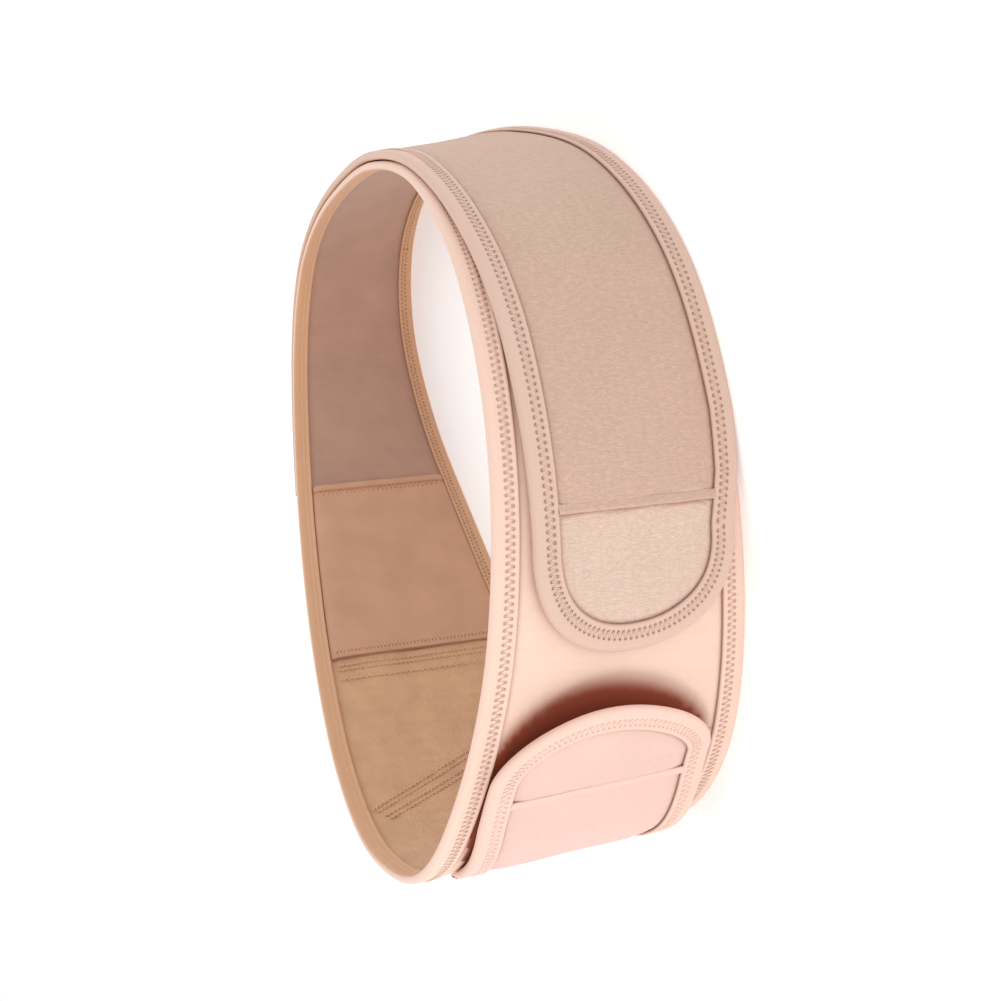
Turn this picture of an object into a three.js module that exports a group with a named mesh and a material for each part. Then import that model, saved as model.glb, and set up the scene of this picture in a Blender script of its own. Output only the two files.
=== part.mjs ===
// Maternity support belt, closed as worn: a wide elastic band with bound edges,
// a long outer strap with a rounded end, and a shorter tab that meets it at the front.
// Units are millimetres. The band lies on one rim at z = 0 and its loop runs round +Z.
import * as THREE from 'three';

// Overall size of the loop
const LENGTH = 393;      // along X, between the band's middle surfaces
const BREADTH = 272;     // along Y, from the back wall to the front wall
const BAND = 122;        // width of the band at its widest section
const MIDDLE = [1.1, 1.9];

// Cloth
const PANEL_HALF = 1.3;  // foam laminate, half its thickness
const TUCKED_HALF = 0.6; // the same laminate pressed flat inside a binding
const BIND_HALF = 1.9;   // folded binding, half its thickness over the panel
const BIND_GAP = 0.9;    // half the slot in the fold
const BIND_WEB = 1.1;    // cloth at the fold itself
const HEM_OUT = 10;      // width of the binding's outer leg
const HEM_IN = 8.5;      // width of its inner leg
const LAYER = 4.4;       // middle of a strap above the middle of the band
const TUCK = 1.5;        // panel edge to the rim, inside the fold
const GAP = 0.3;
const LINING = 1.2;      // thickness of the sewn-on back lining
const HOOK = 1.0;        // thickness of a hook tape patch

// Joins round the loop, in degrees from +X towards the back wall (+Y)
const SEAMS = { side: 58, lower: 155, front: 184.5, upper: 310 };
const LINING_SPAN = 34;
const LINING_END = SEAMS.side + LINING_SPAN;
const STRAP_SEAM = 217.5;
const TAB_SEAM = 180;

// Every piece has its sections at the same turns: each 5 degrees, and at the joins
const TURN_STEP = 5;
const JOINS = [SEAMS.side, LINING_END, TAB_SEAM, SEAMS.front, STRAP_SEAM];

// The band's sections: each rim's place as a share of LENGTH and BREADTH, and the
// height of the upper rim as a share of BAND.
const SECTIONS = {
  columns: ['degrees', 'lowX', 'lowY', 'highX', 'highY', 'highZ'],
  rows: [
    [0, 0.500, 0.088, 0.460, 0.104, 0.584],
    [22.5, 0.459, 0.265, 0.444, 0.249, 0.613],
    [45, 0.334, 0.379, 0.345, 0.372, 0.683],
    [67.5, 0.157, 0.437, 0.184, 0.456, 0.783],
    [90, -0.038, 0.478, -0.010, 0.497, 0.887],
    [112.5, -0.221, 0.488, -0.202, 0.488, 0.966],
    [135, -0.369, 0.419, -0.361, 0.414, 1.000],
    [157.5, -0.465, 0.265, -0.465, 0.262, 0.982],
    [180, -0.494, 0.071, -0.500, 0.054, 0.927],
    [202.5, -0.454, -0.135, -0.466, -0.168, 0.855],
    [225, -0.358, -0.333, -0.366, -0.359, 0.788],
    [247.5, -0.221, -0.471, -0.216, -0.475, 0.735],
    [270, -0.054, -0.493, -0.043, -0.481, 0.693],
    [292.5, 0.132, -0.409, 0.128, -0.380, 0.656],
    [315, 0.311, -0.271, 0.280, -0.219, 0.621],
    [337.5, 0.446, -0.104, 0.398, -0.052, 0.592],
  ],
};

// Where a strap's two edges lie across the band (0 = lower rim, 1 = upper rim)
const STRAP = {
  columns: ['degrees', 'low', 'high'],
  rows: [
    [58, 0, 1], [-75, 0, 1], [-90, 0, 0.98], [-105, 0, 0.945], [-120, 0, 0.905],
    [-132.5, 0, 0.885], [-140, 0.02, 0.873], [-146, 0.06, 0.865],
  ],
  tip: -159.8, roundness: 2.15, slant: -1.5,
};
const TAB = {
  columns: ['degrees', 'low', 'high'],
  rows: [[155, 0.12, 0.86], [165, 0.12, 0.89], [175, 0.12, 0.915], [183.5, 0.125, 0.925]],
  tip: 194.5, roundness: 2, slant: 4,
};

// How far the tab stands off the band besides its layer: loose at the bend, free at its end
const TAB_RISE = {
  columns: ['degrees', 'rise'],
  rows: [
    [155, 0], [160, 3], [165, 5], [170, 4.5], [175, 2], [180, 0.5], [185, 1.5], [190, 5], [195, 10],
  ],
};

const lowRim = new THREE.CatmullRomCurve3(
  SECTIONS.rows.map((r) => new THREE.Vector3(
    r[1] * LENGTH + MIDDLE[0], r[2] * BREADTH + MIDDLE[1], 0)), true, 'catmullrom', 0.5);
const highRim = new THREE.CatmullRomCurve3(
  SECTIONS.rows.map((r) => new THREE.Vector3(
    r[3] * LENGTH + MIDDLE[0], r[4] * BREADTH + MIDDLE[1], r[5] * BAND)), true, 'catmullrom', 0.5);

const turn = (degrees) => (((degrees % 360) + 360) % 360) / 360;
const low = (degrees) => lowRim.getPoint(turn(degrees));
const high = (degrees) => highRim.getPoint(turn(degrees));
const across = (degrees) => high(degrees).sub(low(degrees)).length();

function middle(degrees, share) {
  return low(degrees).lerp(high(degrees), share);
}

// Millimetres along the band for one degree
function along(degrees, share) {
  return middle(degrees + 0.5, share).distanceTo(middle(degrees - 0.5, share));
}

// A point of the band at a height above its middle surface, outwards positive
function onBand(degrees, share, height) {
  const d = middle(degrees + 0.5, share).sub(middle(degrees - 0.5, share));
  const up = high(degrees).sub(low(degrees));
  const out = d.cross(up).normalize();
  out.z = 0;
  return middle(degrees, share).addScaledVector(out.normalize(), height);
}

function between(rows, x, column) {
  const rising = rows[rows.length - 1][0] > rows[0][0];
  const list = rising ? rows : [...rows].reverse();
  if (x <= list[0][0]) return list[0][column];
  for (let i = 1; i < list.length; i++) {
    if (x <= list[i][0]) {
      const f = (x - list[i - 1][0]) / (list[i][0] - list[i - 1][0]);
      return list[i - 1][column] + f * (list[i][column] - list[i - 1][column]);
    }
  }
  return list[list.length - 1][column];
}

const tabHeight = (degrees) => LAYER + between(TAB_RISE.rows, degrees, 1);
const strapHeight = () => LAYER;

// The stations from one turn to another, both included
function range(a, b) {
  const way = Math.sign(b - a);
  const turns = [];
  for (let whole = -360; whole <= 360; whole += 360) {
    for (let k = 0; k < 360; k += TURN_STEP) {
      if (JOINS.every((join) => Math.abs(join - k) >= TURN_STEP / 2)) turns.push(k + whole);
    }
    turns.push(...JOINS.map((join) => join + whole));
  }
  const between = turns.filter((x) => (x - a) * way > 1e-6 && (b - x) * way > 1e-6);
  return [a, ...between.sort((p, q) => (p - q) * way), b];
}

// A closed body from rings of points: each ring is one section, all of the same length
function sweep(rings, closed) {
  const n = rings[0].length;
  const position = rings.flat().flatMap((p) => [p.x, p.y, p.z]);
  const index = [];
  const last = closed ? rings.length : rings.length - 1;
  for (let i = 0; i < last; i++) {
    const a = i * n;
    const b = ((i + 1) % rings.length) * n;
    for (let j = 0; j < n; j++) {
      const k = (j + 1) % n;
      index.push(a + j, b + j, b + k, a + j, b + k, a + k);
    }
  }
  return { position, index, n, count: rings.length };
}

// Closes one end of a swept body; the flat outline only says how its points fan out
function cap(body, ring, flat, last) {
  const base = ring * body.n;
  for (const face of THREE.ShapeUtils.triangulateShape(flat, [])) {
    const [a, b, c] = face.sort((i, j) => i - j);
    if (last) body.index.push(base + a, base + c, base + b);
    else body.index.push(base + a, base + b, base + c);
  }
}

// A flat stand-in for a section of this many points a side, thicker in the middle
function sectionOutline(half) {
  return [...Array(2 * half).keys()].map((i) => {
    const j = i < half ? i : 2 * half - 1 - i;
    return new THREE.Vector2(j, (i < half ? 1 : -1) * (j > 1 && j < half - 2 ? 2 : 1));
  });
}

function geometry(body) {
  const g = new THREE.BufferGeometry();
  g.setAttribute('position', new THREE.Float32BufferAttribute(body.position, 3));
  g.setIndex(body.index);
  let volume = 0;
  const p = body.position;
  for (let i = 0; i < body.index.length; i += 3) {
    const [a, b, c] = [0, 1, 2].map((k) => body.index[i + k] * 3);
    volume += p[a] * (p[b + 1] * p[c + 2] - p[b + 2] * p[c + 1])
      - p[a + 1] * (p[b] * p[c + 2] - p[b + 2] * p[c])
      + p[a + 2] * (p[b] * p[c + 1] - p[b + 1] * p[c]);
  }
  if (volume < 0) {
    for (let i = 0; i < body.index.length; i += 3) {
      [body.index[i + 1], body.index[i + 2]] = [body.index[i + 2], body.index[i + 1]];
    }
    g.setIndex(body.index);
  }
  g.computeVertexNormals();
  return g;
}

// The folded binding's section: distance in from the edge, height above the middle
const FOLD = [
  [0.6, BIND_HALF], [HEM_OUT, BIND_HALF], [HEM_OUT, BIND_GAP], [BIND_WEB, BIND_GAP],
  [BIND_WEB, -BIND_GAP], [HEM_IN, -BIND_GAP], [HEM_IN, -BIND_HALF], [0.6, -BIND_HALF],
  [0, -1.2], [0, 1.2],
];

// The laminate's section near an edge: distance in from the edge, half thickness
const EDGE = [[TUCK, TUCKED_HALF], [HEM_OUT + GAP, TUCKED_HALF], [HEM_OUT + 2.4, PANEL_HALF]];

// Shares across the band where a panel has a line of points between its edges
const COLUMNS = [0.3, 0.5, 0.7];

function bandPanel(from, to) {
  const stations = range(from, to);
  stations[0] += GAP / 2 / along(from, 0.5);
  stations[stations.length - 1] -= GAP / 2 / along(to, 0.5);
  const rings = stations.map((d) => {
    const w = across(d);
    const side = EDGE.map(([x, h]) => [x / w, h]);
    const line = [...side, ...COLUMNS.map((v) => [v, PANEL_HALF]),
      ...side.map(([x, h]) => [1 - x, h]).reverse()];
    return [
      ...line.map(([v, h]) => onBand(d, v, h)),
      ...[...line].reverse().map(([v, h]) => onBand(d, v, -h)),
    ];
  });
  const body = sweep(rings, false);
  const flat = sectionOutline(EDGE.length * 2 + COLUMNS.length);
  cap(body, 0, flat, false);
  cap(body, rings.length - 1, flat, true);
  return geometry(body);
}

function rimBinding(top) {
  const rings = range(0, 360).slice(0, -1).map((d) => {
    const w = across(d);
    return FOLD.map(([x, h]) => onBand(d, top ? 1 - x / w : x / w, h));
  });
  return geometry(sweep(rings, true));
}

// The outline of a strap, from its root along one edge, round the tip and back
function outline(strap, tipSteps) {
  const rows = strap.rows;
  const root = rows[0][0];
  const shoulder = rows[rows.length - 1][0];
  const side = range(root, shoulder);
  const lowAt = (d) => between(rows, d, 1);
  const highAt = (d) => between(rows, d, 2);
  const centre = (lowAt(shoulder) + highAt(shoulder)) / 2;
  const half = (highAt(shoulder) - lowAt(shoulder)) / 2;
  const power = 2 / strap.roundness;
  const path = side.map((d) => [d, highAt(d)]);
  for (let k = 1; k < tipSteps; k++) {
    const a = Math.PI / 2 * (1 - 2 * k / tipSteps);
    const s = Math.sin(a);
    const c = Math.cos(a);
    const v = centre + half * Math.sign(s) * Math.abs(s) ** power;
    const reach = (strap.tip - shoulder) * c ** power;
    path.push([shoulder + reach + strap.slant * (v - centre) * c ** power, v]);
  }
  for (const d of [...side].reverse()) path.push([d, lowAt(d)]);
  return path;
}

// A point of a strap, a distance in from its outline
function inFrom(path, k, distance, height, heightAt) {
  const [d, v] = path[k];
  const [d0, v0] = path[Math.max(0, k - 1)];
  const [d1, v1] = path[Math.min(path.length - 1, k + 1)];
  const perDegree = along(d, v);
  const w = across(d);
  let x = (d1 - d0) * perDegree;
  let y = (v1 - v0) * w;
  if (k === 0 || k === path.length - 1) y = 0;
  const long = Math.hypot(x, y);
  x /= long;
  y /= long;
  const facing = path[path.length - 1][1] < path[0][1] ? 1 : -1;
  const rising = path[Math.floor(path.length / 2)][0] > path[0][0] ? 1 : -1;
  const dd = d + facing * rising * distance * y / perDegree;
  const vv = v - facing * rising * distance * x / w;
  return onBand(dd, vv, heightAt(dd) + height);
}

function strapBinding(path, heightAt) {
  const rings = path.map((_, k) => FOLD.map(([x, h]) => inFrom(path, k, x, h, heightAt)));
  const body = sweep(rings, false);
  const flat = FOLD.map(([x, h]) => new THREE.Vector2(x, h));
  cap(body, 0, flat, false);
  cap(body, rings.length - 1, flat, true);
  return geometry(body);
}

// A length of a strap's panel between two rows of its outline, closed round the tip if last
function strapPanel(path, from, to, tip, heightAt, shift) {
  const rings = [];
  for (let k = from; k <= to; k++) {
    const m = path.length - 1 - k;
    const left = EDGE.map(([x, h]) => [inFrom(path, k, x, h, heightAt), inFrom(path, k, x, -h, heightAt)]);
    const right = EDGE.map(([x, h]) => [inFrom(path, m, x, h, heightAt), inFrom(path, m, x, -h, heightAt)])
      .reverse();
    const pairs = [...left, ...right];
    if (k === from || (k === to && !tip)) {
      const far = path[k === from ? k + 1 : k - 1][0];
      const near = path[k][0];
      const move = (far - near) / Math.abs(far - near) * shift / along(near, 0.5);
      for (const pair of pairs) for (const p of pair) slide(p, near, move);
    }
    rings.push([...pairs.map((p) => p[0]), ...pairs.map((p) => p[1]).reverse()]);
  }
  const body = sweep(rings, false);
  const half = EDGE.length * 2;
  const flat = sectionOutline(half);
  cap(body, 0, flat, false);
  if (!tip) {
    cap(body, rings.length - 1, flat, true);
    return geometry(body);
  }
  const base = (rings.length - 1) * body.n;
  const n = body.n;
  const quad = (a, b, c, d) => body.index.push(base + a, base + b, base + c, base + a, base + c, base + d);
  for (let j = 0; j < half / 2 - 1; j++) {
    quad(j, half - 1 - j, half - 2 - j, j + 1);
    quad(n - 2 - j, half + 1 + j, half + j, n - 1 - j);
  }
  quad(0, n - 1, half, half - 1);
  return geometry(body);
}

// Moves a point along the band by a small turn
function slide(p, degrees, move) {
  const step = middle(degrees + move, 0.5).sub(middle(degrees, 0.5));
  p.add(step);
}

// A plain patch that follows the band between two heights
function patch(from, to, lowShare, highShare, inner, outer) {
  const inside = COLUMNS.filter((v) => v > lowShare(from) && v < highShare(from));
  const rings = range(from, to).map((d) => {
    const line = [lowShare(d), ...inside, highShare(d)];
    return [
      ...line.map((v) => onBand(d, v, outer)),
      ...[...line].reverse().map((v) => onBand(d, v, inner)),
    ];
  });
  const body = sweep(rings, false);
  const flat = sectionOutline(inside.length + 2);
  cap(body, 0, flat, false);
  cap(body, rings.length - 1, flat, true);
  return geometry(body);
}

const CLOTH = {
  base: ['#f0d3bf', 0.95], lining: ['#bd9076', 0.9], terry: ['#c39a78', 0.95],
  strap: ['#dcbfaa', 0.95], tab: ['#f4d8cb', 0.85], hem: ['#e4c4af', 0.8], hook: ['#cfae98', 0.9],
};

const belt = new THREE.Group();
belt.name = 'maternity_support_belt';

function add(name, shape, cloth) {
  const [color, roughness] = CLOTH[cloth];
  const material = new THREE.MeshStandardMaterial({ color, roughness, metalness: 0 });
  const mesh = new THREE.Mesh(shape, material);
  mesh.name = name;
  belt.add(mesh);
}

// The band
add('front_panel', bandPanel(SEAMS.front, SEAMS.upper), 'base');
add('upper_side_panel', bandPanel(SEAMS.upper - 360, SEAMS.side), 'lining');
add('back_panel', bandPanel(SEAMS.side, SEAMS.lower), 'terry');
add('lower_side_panel', bandPanel(SEAMS.lower, SEAMS.front), 'base');
add('upper_rim_binding', rimBinding(true), 'hem');
add('lower_rim_binding', rimBinding(false), 'hem');

// The lining that is sewn on inside the back
const liningEdge = HEM_IN + GAP;
add('back_lining', patch(SEAMS.side, LINING_END, (d) => liningEdge / across(d),
  (d) => 1 - liningEdge / across(d), -(PANEL_HALF + 2 * GAP + LINING), -(PANEL_HALF + 2 * GAP)), 'lining');

// The outer strap
const strapPath = outline(STRAP, 22);
const strapSide = range(STRAP.rows[0][0], STRAP.rows[STRAP.rows.length - 1][0]);
const strapLast = Math.floor((strapPath.length - 1) / 2);
const seamRow = strapSide.indexOf(STRAP_SEAM - 360);
add('strap_panel', strapPanel(strapPath, 0, seamRow, false, strapHeight, GAP / 2), 'strap');
add('strap_tip_panel', strapPanel(strapPath, seamRow, strapLast, true, strapHeight, GAP / 2), 'strap');
add('strap_binding', strapBinding(strapPath, strapHeight), 'hem');
add('strap_hook_patch', patch(-153, -135, () => 0.28, () => 0.66,
  PANEL_HALF + 0.4, PANEL_HALF + 0.4 + HOOK), 'hook');

// The tab
const tabPath = outline(TAB, 18);
const tabSide = range(TAB.rows[0][0], TAB.rows[TAB.rows.length - 1][0]);
const tabLast = Math.floor((tabPath.length - 1) / 2);
const tabRow = tabSide.indexOf(TAB_SEAM);
add('tab_panel', strapPanel(tabPath, 0, tabRow, false, tabHeight, GAP / 2), 'tab');
add('tab_tip_panel', strapPanel(tabPath, tabRow, tabLast, true, tabHeight, GAP / 2), 'tab');
add('tab_binding', strapBinding(tabPath, tabHeight), 'hem');
add('tab_hook_patch', patch(176, 183, () => 0.27, () => 0.77,
  PANEL_HALF + 0.4, PANEL_HALF + 0.4 + HOOK), 'hook');

export default belt;
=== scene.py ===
"""A maternity support belt, closed as worn, on a pale floor. Lengths are in millimetres
up to the point where a mesh is made, and in metres after it."""

import bpy
import numpy as np
from mathutils import Matrix, Vector


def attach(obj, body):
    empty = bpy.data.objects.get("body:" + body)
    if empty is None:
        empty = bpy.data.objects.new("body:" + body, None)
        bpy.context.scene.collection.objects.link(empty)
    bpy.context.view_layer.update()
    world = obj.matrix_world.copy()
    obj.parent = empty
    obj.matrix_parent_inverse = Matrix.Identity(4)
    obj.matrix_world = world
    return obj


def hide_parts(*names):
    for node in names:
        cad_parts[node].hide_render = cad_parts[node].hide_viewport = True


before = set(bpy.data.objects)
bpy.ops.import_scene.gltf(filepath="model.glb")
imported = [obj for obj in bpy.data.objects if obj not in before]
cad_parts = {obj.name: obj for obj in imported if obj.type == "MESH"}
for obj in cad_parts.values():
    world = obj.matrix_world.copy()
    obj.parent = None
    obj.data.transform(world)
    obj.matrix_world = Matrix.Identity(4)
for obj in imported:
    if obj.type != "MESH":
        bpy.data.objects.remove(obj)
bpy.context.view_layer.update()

# The loop, as in the CAD model
LENGTH, BREADTH, BAND = 393.0, 272.0, 122.0
MIDDLE = np.array([1.1, 1.9, 0.0])
SECTION_TURN = 22.5
# lowX, lowY, highX, highY, highZ as shares of LENGTH, BREADTH and BAND
SECTIONS = np.array([
    [0.500, 0.088, 0.460, 0.104, 0.584],
    [0.459, 0.265, 0.444, 0.249, 0.613],
    [0.334, 0.379, 0.345, 0.372, 0.683],
    [0.157, 0.437, 0.184, 0.456, 0.783],
    [-0.038, 0.478, -0.010, 0.497, 0.887],
    [-0.221, 0.488, -0.202, 0.488, 0.966],
    [-0.369, 0.419, -0.361, 0.414, 1.000],
    [-0.465, 0.265, -0.465, 0.262, 0.982],
    [-0.494, 0.071, -0.500, 0.054, 0.927],
    [-0.454, -0.135, -0.466, -0.168, 0.855],
    [-0.358, -0.333, -0.366, -0.359, 0.788],
    [-0.221, -0.471, -0.216, -0.475, 0.735],
    [-0.054, -0.493, -0.043, -0.481, 0.693],
    [0.132, -0.409, 0.128, -0.380, 0.656],
    [0.311, -0.271, 0.280, -0.219, 0.621],
    [0.446, -0.104, 0.398, -0.052, 0.592],
])
PANEL_HALF = 1.3  # half the laminate's thickness
TUCKED_HALF = 0.6  # the same where a binding presses it
BIND_HALF = 1.9  # half a binding's thickness over both legs
HEM_OUT, HEM_IN = 10.0, 8.5  # widths of a binding's outer and inner leg
LAYER = 4.4  # from the band's middle to the strap's, where it lies on it
# Seams, as turns round the loop in degrees
SIDE_SEAM, LOWER_SEAM, FRONT_SEAM, UPPER_SEAM = 58.0, 155.0, 184.5, 310.0
LINING_END, STRAP_SEAM, TAB_SEAM = 92.0, 217.5, 180.0
# Turn, and the lower and upper edge as shares of the band's width
STRAP_ROWS = np.array([
    [58, 0, 1], [-75, 0, 1], [-90, 0, 0.98], [-105, 0, 0.945], [-120, 0, 0.905],
    [-132.5, 0, 0.885], [-140, 0.02, 0.873], [-146, 0.06, 0.865],
])
STRAP_TIP, STRAP_ROUND, STRAP_SLANT = -159.8, 2.15, -1.5
TAB_ROWS = np.array([[155, 0.12, 0.86], [165, 0.12, 0.89], [175, 0.12, 0.915], [183.5, 0.125, 0.925]])
TAB_TIP, TAB_ROUND, TAB_SLANT = 194.5, 2.0, 4.0
# Turn and the tab's lift off the layer below it
TAB_RISE = np.array([
    [155, 0], [160, 1.6], [165, 3.4], [170, 3.4], [175, 1.8], [180, 0.5], [185, 1.5], [190, 5], [195, 10],
])

# The two rows of needle holes in every binding, in from its edge, and their pitch
HOLE_ROWS = (5.2, 7.6)
PITCH = 2.5
INNER_ROWS = (HOLE_ROWS[0] * HEM_IN / HEM_OUT, HOLE_ROWS[1] * HEM_IN / HEM_OUT)
RIDGE = 9.1  # middle of the raised strip beside them
HEM_SEEN = HEM_OUT - 0.1  # how far in from a strap's edge a seam's lap starts


def loop_curve(points, turn):
    """A closed curve through evenly turned sections: each coordinate is the cubic whose
    slope at a section is half the difference of its two neighbours."""
    u = np.mod(turn, 360.0) / SECTION_TURN
    i = np.floor(u).astype(int)
    x = (u - i)[..., None]
    n = len(points)
    p0, p1, p2, p3 = (points[(i + k) % n] for k in (-1, 0, 1, 2))
    s1, s2 = (p2 - p0) / 2, (p3 - p1) / 2
    return (2 * p1 - 2 * p2 + s1 + s2) * x**3 + (3 * p2 - 3 * p1 - 2 * s1 - s2) * x**2 + s1 * x + p1


LOW = np.column_stack([SECTIONS[:, 0] * LENGTH, SECTIONS[:, 1] * BREADTH, np.zeros(16)]) + MIDDLE
HIGH = np.column_stack([SECTIONS[:, 2] * LENGTH, SECTIONS[:, 3] * BREADTH, SECTIONS[:, 4] * BAND]) + MIDDLE


def middle(turn, share):
    """The band's middle surface: straight from the lower rim to the upper one."""
    low, high = loop_curve(LOW, turn), loop_curve(HIGH, turn)
    return low + (high - low) * np.asarray(share)[..., None]


def width(turn):
    """The band's width: the distance between its rims at one turn."""
    return np.linalg.norm(loop_curve(HIGH, turn) - loop_curve(LOW, turn), axis=-1)


def per_degree(turn, share):
    """Millimetres along the band for one degree of turn."""
    return np.linalg.norm(middle(turn + 0.5, share) - middle(turn - 0.5, share), axis=-1)


def on_band(turn, share, height):
    """A point at a height above the middle surface, along the level outward normal."""
    turn, share, height = np.broadcast_arrays(turn, share, height)
    forward = middle(turn + 0.5, share) - middle(turn - 0.5, share)
    up = loop_curve(HIGH, turn) - loop_curve(LOW, turn)
    out = np.cross(forward, up)
    out[..., 2] = 0
    out /= np.linalg.norm(out, axis=-1)[..., None]
    return middle(turn, share) + out * height[..., None]


def ease(x):
    """0 up to x = 0, 1 from x = 1, with a smooth S between."""
    x = np.clip(x, 0, 1)
    return x * x * (3 - 2 * x)


def bump(x, centre, half):
    """1 at the centre and 0 from half a width away, a raised cosine between."""
    return np.where(np.abs(x - centre) < half, 0.5 + 0.5 * np.cos(np.pi * (x - centre) / half), 0)


def sway(a, b, seed, size):
    """A slow wave of the cloth: the mean of five sines of a and b in set directions,
    with wavelengths of 0.7 to 2 times the size."""
    rng = np.random.default_rng(seed)
    total = 0
    for _ in range(5):
        angle, phase, wave = rng.uniform(0, np.pi), rng.uniform(0, 2 * np.pi), size * rng.uniform(0.7, 2)
        total = total + np.sin((a * np.cos(angle) + b * np.sin(angle)) * 2 * np.pi / wave + phase)
    return total / 5


def table(rows, turn, column):
    """A table's column at a turn, straight between its rows."""
    rows = rows[np.argsort(rows[:, 0])]
    return np.interp(turn, rows[:, 0], rows[:, column])


_turns = np.arange(-200, 400.01, 0.25)
_length = np.concatenate([[0], np.cumsum(np.linalg.norm(np.diff(middle(_turns, 0.5), axis=0), axis=1))])


def along(turn):
    """Distance along the middle of the band, in millimetres."""
    return np.interp(turn, _turns, _length)


# Meshes
def make(name, points, faces, uv, material, node):
    """One piece from points in millimetres, faces and a UV pair for each point."""
    mesh = bpy.data.meshes.new(name)
    points = np.asarray(points, dtype=np.float64).reshape(-1, 3) / 1000
    mesh.from_pydata(points.tolist(), [], faces if isinstance(faces, list) else faces.tolist())
    layer = mesh.uv_layers.new(name="UVMap")
    corner = np.empty(len(mesh.loops), dtype=np.int32)
    mesh.loops.foreach_get("vertex_index", corner)
    layer.data.foreach_set("uv", np.asarray(uv, dtype=np.float32).reshape(-1, 2)[corner].ravel())
    mesh.polygons.foreach_set("use_smooth", np.full(len(mesh.polygons), True))
    mesh.set_sharp_from_angle(angle=np.radians(52))
    mesh.materials.append(material)
    mesh.update()
    obj = bpy.data.objects.new(name, mesh)
    bpy.context.scene.collection.objects.link(obj)
    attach(obj, "root")
    if node:
        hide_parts(node)
    return obj


def grid_faces(rows, columns, close_rows=False, close_columns=False):
    """Faces of a grid of points, optionally joined round in either direction."""
    i = np.arange(rows if close_rows else rows - 1)
    j = np.arange(columns if close_columns else columns - 1)
    i, j = (a.ravel() for a in np.meshgrid(i, j, indexing="ij"))
    i1, j1 = (i + 1) % rows, (j + 1) % columns
    return np.stack([i * columns + j, i1 * columns + j, i1 * columns + j1, i * columns + j1], axis=1)


def path_frame(turn, share, closed):
    """Unit steps along a path on the band and across it to the left, in millimetres,
    as changes of turn and share per millimetre."""
    if closed:
        dt = (np.roll(turn, -1) - np.roll(turn, 1) + 180) % 360 - 180
        ds = np.roll(share, -1) - np.roll(share, 1)
    else:
        dt, ds = np.gradient(turn), np.gradient(share)
    unit, wide = per_degree(turn, share), width(turn)
    x, y = dt * unit, ds * wide
    if not closed and x[0]:
        y[[0, -1]] = 0
    long = np.hypot(x, y)
    x, y = x / long, y / long
    return -y / unit, x / wide


def inward_grid(turn, share, side, distance, height, rise, closed=False):
    """Points in from a path: rows follow the path, columns take each distance and height."""
    a, b = path_frame(turn, share, closed)
    t = turn[:, None] + side * a[:, None] * distance
    s = share[:, None] + side * b[:, None] * distance
    return on_band(t, s, rise(t) + height), t, s


def no_rise(turn):
    """The lower rim lies on the band's own middle surface."""
    return np.zeros_like(turn)


def seam_bulge(turn):
    """The band stands out a little above the tab's root, where its seam is thickest."""
    return 3.4 * bump(turn, 160.0, 23.0)


def strap_rise(turn):
    """The strap lies one layer above the base band."""
    return np.full_like(turn, LAYER)


def tab_shade(points, turn, share):
    """Shade on the band under and beside the tab: full as far as its edge, and from there falling
    off over a distance that grows with the tab's lift."""
    edge_turn, edge_share, n = strap_outline(TAB_ROWS, TAB_TIP, TAB_ROUND, TAB_SLANT, 0.4, 90)
    edge = on_band(edge_turn, edge_share, LAYER * 0.5)
    reach = 0.9 + 0.5 * np.clip(tab_rise(edge_turn) - LAYER - 0.8, 0, None) * ease((edge_turn - 181) / 6)
    end = np.interp(-share, -edge_share[n:-n], edge_turn[n:-n])
    under = (share > table(TAB_ROWS, turn, 1)) & (share < table(TAB_ROWS, turn, 2)) & (turn < end)
    near = (points[..., 0] < -80) & (points[..., 1] < 110) & ~under
    gap = np.linalg.norm(points[near][:, None, :] - edge[None], axis=-1) / reach
    shade = 0.95 * under
    shade[near] = 0.95 * np.exp(-gap.min(axis=1) ** 1.7)
    return shade


def tab_rise(turn):
    """The tab lies one layer above the base band, loose at the bend and free at its end."""
    step = np.linspace(-2.5, 2.5, 11)
    lift = np.mean([np.interp(turn + k, TAB_RISE[:, 0], TAB_RISE[:, 1]) for k in step], axis=0)
    return LAYER + lift - 0.9 * (1 - ease((turn - LOWER_SEAM) / 3.5))


def fold_section():
    """The binding's section: distances in from the edge and heights, from the inner end of
    the outer leg round the fold to the inner end of the inner leg, and back inside."""
    d = np.array([
        10.2, 10.0, 9.7, 9.1, 8.5, 8.2, 7.6, 7.0, 6.4, 5.8, 5.2, 4.6, 3.8, 2.8, 1.8, 1.0, 0.45, 0.1])
    d = np.concatenate([d, [0.0], d[::-1]])
    n = len(d) // 2
    full = BIND_HALF * np.sqrt(1 - np.clip(1 - d / 1.9, 0, 1) ** 2)
    full = full - 0.20 * bump(d, HOLE_ROWS[0], 1.4) - 0.26 * bump(d, HOLE_ROWS[1], 1.4)
    full = full + 0.22 * bump(d, RIDGE, 1.1) - 0.55 * ease((d - 9.75) / 0.45)
    sign = np.where(np.arange(len(d)) <= n, 1.0, -1.0)
    sign[n] = 0
    h = sign * full
    d[n + 1:] = np.minimum(d[n + 1:], 10.2) * HEM_IN / HEM_OUT
    inside_d = np.array([HEM_IN * 1.0, 1.6, 1.6, 10.0])
    inside_h = np.array([-0.95, -0.95, 0.95, 0.95])
    return np.concatenate([d, inside_d]), np.concatenate([h, inside_h]), len(d)


FOLD_D, FOLD_H, FOLD_SHOWN = fold_section()


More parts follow.
